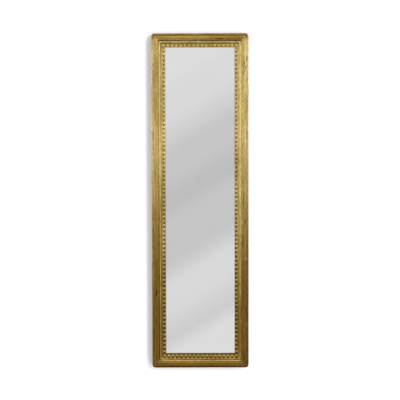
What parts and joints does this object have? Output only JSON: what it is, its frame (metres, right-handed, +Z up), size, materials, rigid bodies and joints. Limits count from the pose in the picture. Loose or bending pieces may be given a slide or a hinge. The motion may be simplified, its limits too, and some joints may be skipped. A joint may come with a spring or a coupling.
{
  "type": "pier mirror",
  "caption": "Tall narrow wall mirror: plain plate in a mitred gilded moulding with a row of pearls round the sight edge, boarded back and swinging D rings to hang it by.",
  "frame": {"origin": "middle of the frame's bottom edge, on the plane of its back, where it lies against the wall", "axes": "+Z up, +Y back towards the wall, so the plate faces -Y; +X to the right as seen from the front"},
  "size_m": [0.376, 0.042, 1.3],
  "materials": {
    "gilded_wood": "water gilding over red bole and gesso, satin, rubbed",
    "gilded_composition": "cast composition, gilded, satin",
    "plate_glass": "polished, ground arrises",
    "silvering": "silvered and painted behind",
    "pine_blocks": "sawn pine",
    "pine_boards": "planed pine, aged and dusty",
    "iron_nails": "dull iron",
    "mitre_keys": "planed hardwood",
    "brass_strap": "tarnished sheet brass",
    "brass_screws": "turned brass",
    "brass_ring": "drawn brass wire"
  },
  "bodies": {
    "frame": {"stile_left": "gilded_wood", "stile_right": "gilded_wood", "rail_top": "gilded_wood", "rail_bottom": "gilded_wood", "pearls_left": "gilded_composition", "pearls_right": "gilded_composition", "pearls_top": "gilded_composition", "pearls_bottom": "gilded_composition", "corner_pearls": "gilded_composition", "mirror_glass": "plate_glass", "silvering": "silvering", "plate_blocks": "pine_blocks", "back_board_1": "pine_boards", "back_board_2": "pine_boards", "back_board_3": "pine_boards", "back_board_4": "pine_boards", "back_board_5": "pine_boards", "board_nails": "iron_nails", "mitre_key_top_left": "mitre_keys", "mitre_key_top_right": "mitre_keys", "mitre_key_bottom_left": "mitre_keys", "mitre_key_bottom_right": "mitre_keys", "hanger_plate_left": "brass_strap", "hanger_plate_right": "brass_strap", "hanger_screws": "brass_screws"},
    "ring_left": {"hanger_ring_left": "brass_ring"},
    "ring_right": {"hanger_ring_right": "brass_ring"}
  },
  "joints": [
    {"name": "ring_left_swing", "type": "hinge", "parent": "frame", "child": "ring_left", "pos_m": [-0.169, 0.00305, 1.12], "axis": [1, 0, 0], "range_deg": [0, 185]},
    {"name": "ring_right_swing", "type": "hinge", "parent": "frame", "child": "ring_right", "pos_m": [0.169, 0.00305, 1.12], "axis": [1, 0, 0], "range_deg": [0, 185]}
  ]
}
